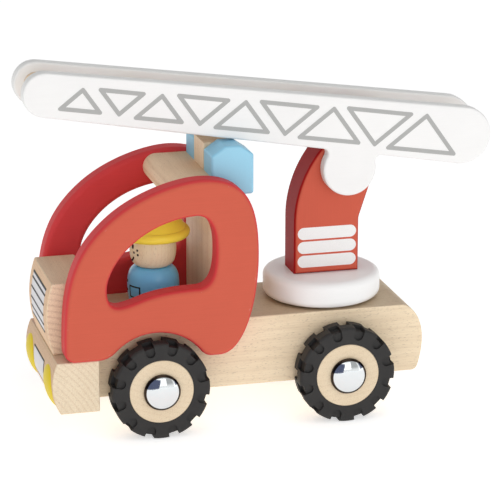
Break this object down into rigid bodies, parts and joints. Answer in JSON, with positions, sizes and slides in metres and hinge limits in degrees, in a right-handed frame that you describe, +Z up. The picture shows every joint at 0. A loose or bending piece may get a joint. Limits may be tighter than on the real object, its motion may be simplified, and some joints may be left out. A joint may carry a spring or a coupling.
{
  "type": "toy fire engine",
  "caption": "Wooden toy fire engine with rubber-tyred wheels, an open cab with a peg driver, and a turning, tilting ladder on a round turntable.",
  "frame": {"origin": "on the floor plane, at the middle of the overall length and of the overall width", "axes": "+Z up; the vehicle drives towards -X, with the ladder's tip over the cab; its left side faces -Y; the axles lie along Y"},
  "size_m": [0.2409, 0.094, 0.1838],
  "materials": {
    "beech_oiled": "planed and oiled beech",
    "beech_dowel": "turned beech dowel",
    "beech_hub": "turned beech, satin",
    "beech_face": "turned beech, satin, printed face",
    "red_stain": "beech under a red satin lacquer",
    "white_lacquer": "beech under a white satin lacquer",
    "light_blue": "beech under a pale blue satin lacquer",
    "body_blue": "beech under a blue gloss lacquer",
    "helmet_yellow": "beech under a yellow satin lacquer",
    "tyre_rubber": "matt moulded rubber",
    "cap_chrome": "bright plated pressing",
    "axle_steel": "drawn steel",
    "washer_plastic": "natural nylon"
  },
  "bodies": {
    "vehicle": {"chassis": "beech_oiled", "bumper": "beech_oiled", "bumper_dowels": "beech_dowel", "grille_block": "beech_oiled", "cab_side_left": "red_stain", "cab_side_right": "red_stain", "cab_dowels": "beech_dowel", "cab_back_wall": "beech_oiled", "roof_board": "beech_oiled", "light_block_left": "light_blue", "light_block_right": "light_blue", "light_bar_core": "beech_oiled", "light_bar_dowel": "beech_dowel", "front_axle": "axle_steel", "rear_axle": "axle_steel", "wheel_washers": "washer_plastic", "turntable_washer": "washer_plastic", "turntable_screw": "axle_steel", "axle_cap_front_left": "cap_chrome", "axle_cap_front_right": "cap_chrome", "axle_cap_rear_left": "cap_chrome", "axle_cap_rear_right": "cap_chrome"},
    "turntable": {"turntable_disc": "white_lacquer", "post_dowels": "beech_dowel", "ladder_post": "red_stain"},
    "ladder": {"ladder_rail_left": "white_lacquer", "ladder_rail_right": "white_lacquer", "ladder_pivot_dowel": "beech_dowel", "ladder_rung_1": "beech_dowel", "ladder_rung_2": "beech_dowel", "ladder_rung_3": "beech_dowel", "ladder_rung_4": "beech_dowel", "ladder_rung_5": "beech_dowel", "ladder_rung_6": "beech_dowel"},
    "driver": {"driver_body": "body_blue", "driver_head": "beech_face", "driver_helmet": "helmet_yellow"},
    "wheel_front_left": {"wheel_hub_front_left": "beech_hub", "tyre_front_left": "tyre_rubber"},
    "wheel_front_right": {"wheel_hub_front_right": "beech_hub", "tyre_front_right": "tyre_rubber"},
    "wheel_rear_left": {"wheel_hub_rear_left": "beech_hub", "tyre_rear_left": "tyre_rubber"},
    "wheel_rear_right": {"wheel_hub_rear_right": "beech_hub", "tyre_rear_right": "tyre_rubber"}
  },
  "joints": [
    {"name": "turntable_turn", "type": "hinge", "parent": "vehicle", "child": "turntable", "pos_m": [0.0358, 0, 0.0564], "axis": [0, 0, 1], "range_deg": [-115, 115]},
    {"name": "ladder_tilt", "type": "hinge", "parent": "turntable", "child": "ladder", "pos_m": [0.04545, 0, 0.1256], "axis": [0, 1, 0], "range_deg": [0, 50]},
    {"name": "driver_lift", "type": "slide", "parent": "vehicle", "child": "driver", "axis": [0, 0, 1], "range_m": [0, 0.0075]},
    {"name": "wheel_front_left_spin", "type": "hinge", "parent": "vehicle", "child": "wheel_front_left", "pos_m": [-0.0588, -0.0365, 0.025], "axis": [0, 1, 0], "continuous": true},
    {"name": "wheel_front_right_spin", "type": "hinge", "parent": "vehicle", "child": "wheel_front_right", "pos_m": [-0.0588, 0.0365, 0.025], "axis": [0, 1, 0], "continuous": true},
    {"name": "wheel_rear_left_spin", "type": "hinge", "parent": "vehicle", "child": "wheel_rear_left", "pos_m": [0.0377, -0.0365, 0.025], "axis": [0, 1, 0], "continuous": true},
    {"name": "wheel_rear_right_spin", "type": "hinge", "parent": "vehicle", "child": "wheel_rear_right", "pos_m": [0.0377, 0.0365, 0.025], "axis": [0, 1, 0], "continuous": true}
  ]
}
